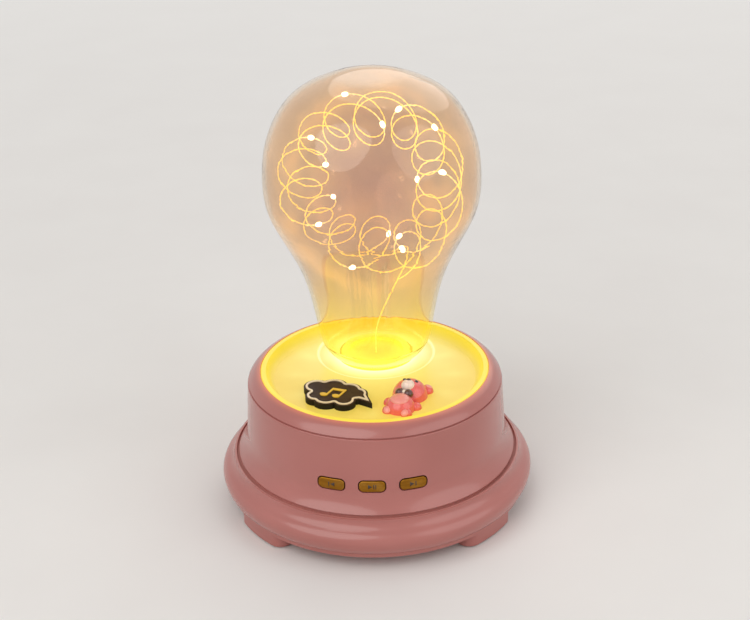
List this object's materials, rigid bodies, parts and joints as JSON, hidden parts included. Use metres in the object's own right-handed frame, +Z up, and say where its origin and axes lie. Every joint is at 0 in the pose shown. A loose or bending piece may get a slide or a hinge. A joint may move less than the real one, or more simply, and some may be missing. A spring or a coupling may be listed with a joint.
{
  "type": "speaker lamp",
  "caption": "Round tabletop lamp with a down-firing speaker in its base, push buttons in front, a lit tray and a clear bulb holding a looped fairy light wire.",
  "frame": {"origin": "on the ground, under the middle of the round base", "axes": "+Z up, the front with its buttons faces -Y, +X to the right seen from the front"},
  "size_m": [0.1378, 0.1378, 0.1862],
  "materials": {
    "cover_plastic": "fine matt moulding",
    "pad_rubber": "matt",
    "flange_plastic": "glossy moulding",
    "body_plastic": "glossy moulding",
    "bezel_plastic": "glossy moulding",
    "tray_plastic": "glowing milky sheet",
    "bulb_clear": "clear and smooth",
    "ring_plastic": "matt",
    "plug_plastic": "smooth milky moulding",
    "wire_copper": "lacquered bright wire",
    "bead_glow": "clear resin drop over a lamp",
    "button_gold": "glossy translucent moulding",
    "switch_plastic": "matt",
    "switch_metal": "stamped",
    "board_green": "satin lacquer",
    "board_white": "satin lacquer",
    "chip_plastic": "matt",
    "socket_metal": "stamped",
    "cell_wrap": "shrunk sleeve",
    "frame_metal": "satin paint",
    "magnet_metal": "zinc plated",
    "cone_paper": "pressed paper",
    "coil_copper": "wound wire",
    "surround_rubber": "soft matt",
    "lamp_glow": "smooth",
    "screw_steel": "bright",
    "plaque_brown": "soft gloss",
    "plaque_cream": "soft gloss",
    "plaque_yellow": "soft gloss",
    "bear_pink": "soft gloss",
    "bear_cream": "soft gloss",
    "bear_brown": "soft gloss"
  },
  "bodies": {
    "lamp": {"bottom_cover": "cover_plastic", "foot_pads": "pad_rubber", "flange_housing": "flange_plastic", "body_housing": "body_plastic", "top_bezel": "bezel_plastic", "light_tray": "tray_plastic", "bulb_shade": "bulb_clear", "bulb_ring": "ring_plastic", "wire_plug": "plug_plastic", "fairy_wire": "wire_copper", "led_beads": "bead_glow", "push_switches": "switch_metal", "button_board": "board_green", "main_board": "board_green", "board_components": "chip_plastic", "usb_socket": "socket_metal", "power_switch": "switch_metal", "battery_cell": "cell_wrap", "speaker_frame": "frame_metal", "speaker_magnet": "magnet_metal", "led_board": "board_white", "led_lamps": "lamp_glow", "case_screws": "screw_steel", "speaker_screws": "screw_steel", "main_board_screws": "screw_steel", "button_board_screws": "screw_steel", "bezel_screws": "screw_steel", "light_board_screws": "screw_steel", "cloud_plaque": "plaque_brown", "cloud_outline": "plaque_cream", "cloud_notes": "plaque_yellow", "bear_charm": "bear_pink", "bear_muzzle": "bear_cream", "bear_bow": "bear_brown"},
    "left_button": {"button_left": "button_gold", "switch_stem_left": "switch_plastic"},
    "centre_button": {"button_centre": "button_gold", "switch_stem_centre": "switch_plastic"},
    "right_button": {"button_right": "button_gold", "switch_stem_right": "switch_plastic"},
    "power_slider": {"power_knob": "switch_plastic"},
    "cone": {"speaker_cone": "cone_paper", "dust_cap": "cone_paper", "voice_coil": "coil_copper", "cone_surround": "surround_rubber"}
  },
  "joints": [
    {"name": "left_button_press", "type": "slide", "parent": "lamp", "child": "left_button", "axis": [0, 1, 0], "range_m": [0, 0.0005], "stiffness_N_per_m": 400},
    {"name": "centre_button_press", "type": "slide", "parent": "lamp", "child": "centre_button", "axis": [0, 1, 0], "range_m": [0, 0.0005], "stiffness_N_per_m": 400},
    {"name": "right_button_press", "type": "slide", "parent": "lamp", "child": "right_button", "axis": [0, 1, 0], "range_m": [0, 0.0005], "stiffness_N_per_m": 400},
    {"name": "power_slide", "type": "slide", "parent": "lamp", "child": "power_slider", "axis": [1, 0, 0], "range_m": [0, 0.003]},
    {"name": "cone_stroke", "type": "slide", "parent": "lamp", "child": "cone", "axis": [0, 0, 1], "range_m": [-0.0006, 0.0006], "stiffness_N_per_m": 1500}
  ]
}
